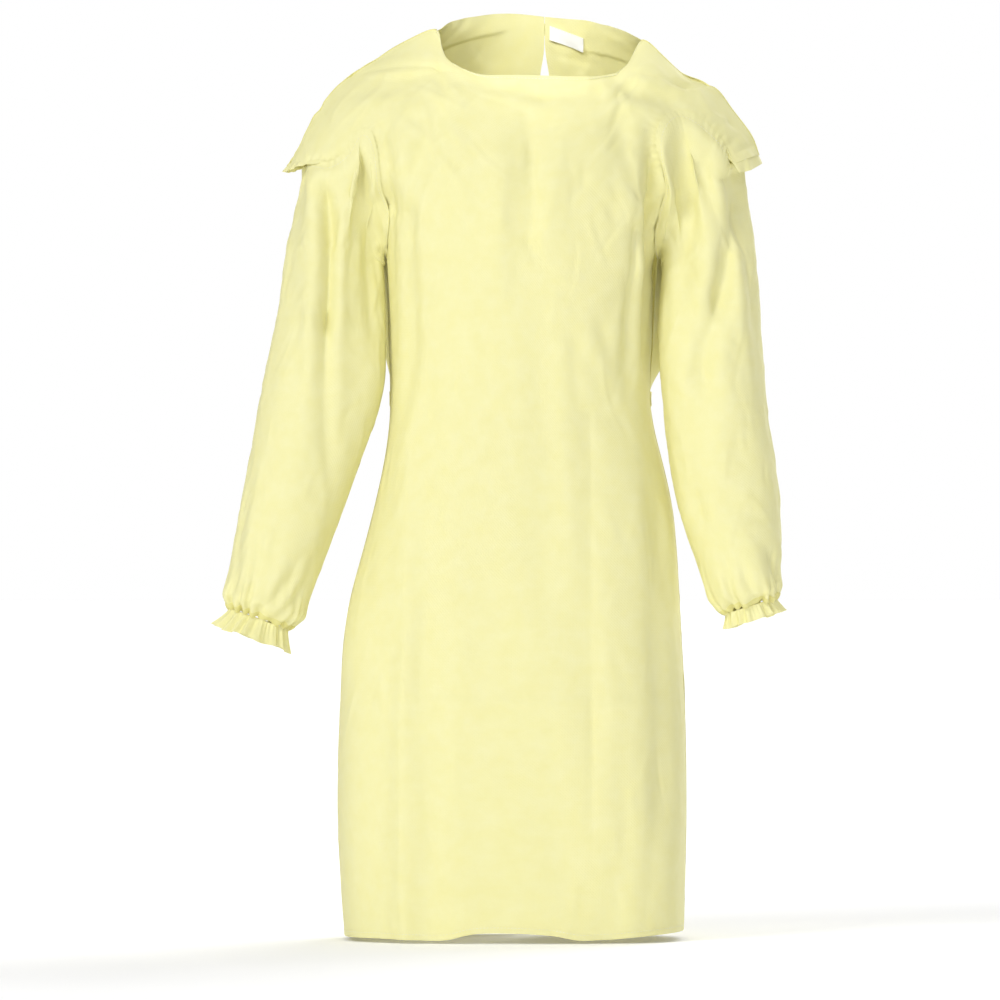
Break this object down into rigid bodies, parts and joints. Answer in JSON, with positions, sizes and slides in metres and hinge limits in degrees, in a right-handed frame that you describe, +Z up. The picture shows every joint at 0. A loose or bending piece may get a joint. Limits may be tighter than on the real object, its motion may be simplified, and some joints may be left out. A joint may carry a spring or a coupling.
{
  "type": "isolation gown",
  "caption": "Thin long-sleeved cover gown in its worn shape, hollow, open at neck, cuffs, hem and centre back, tied at the neck and waist.",
  "frame": {"origin": "middle of the shoulder line at the base of the neck, where a wearer's or a stand's shoulders hold the gown", "axes": "+Z up, -Y towards the gown's front, +X towards its right side as seen from the front"},
  "size_m": [0.6941, 0.276, 1.1277],
  "materials": {
    "nonwoven": "matt, thin spunbonded nonwoven, slightly see-through",
    "tag": "matt white woven tape"
  },
  "bodies": {
    "root": {"front_panel": "nonwoven", "back_panel_l": "nonwoven", "back_panel_r": "nonwoven", "sleeve_l": "nonwoven", "sleeve_r": "nonwoven", "cuff_l": "nonwoven", "cuff_r": "nonwoven", "waist_tie_l": "nonwoven", "waist_tie_r": "nonwoven", "waist_knot": "nonwoven", "waist_end_l": "nonwoven", "waist_end_r": "nonwoven", "neck_tie_l": "nonwoven", "neck_tie_r": "nonwoven", "neck_knot": "nonwoven", "neck_end_l": "nonwoven", "neck_end_r": "nonwoven", "neck_label": "tag"}
  },
  "joints": []
}
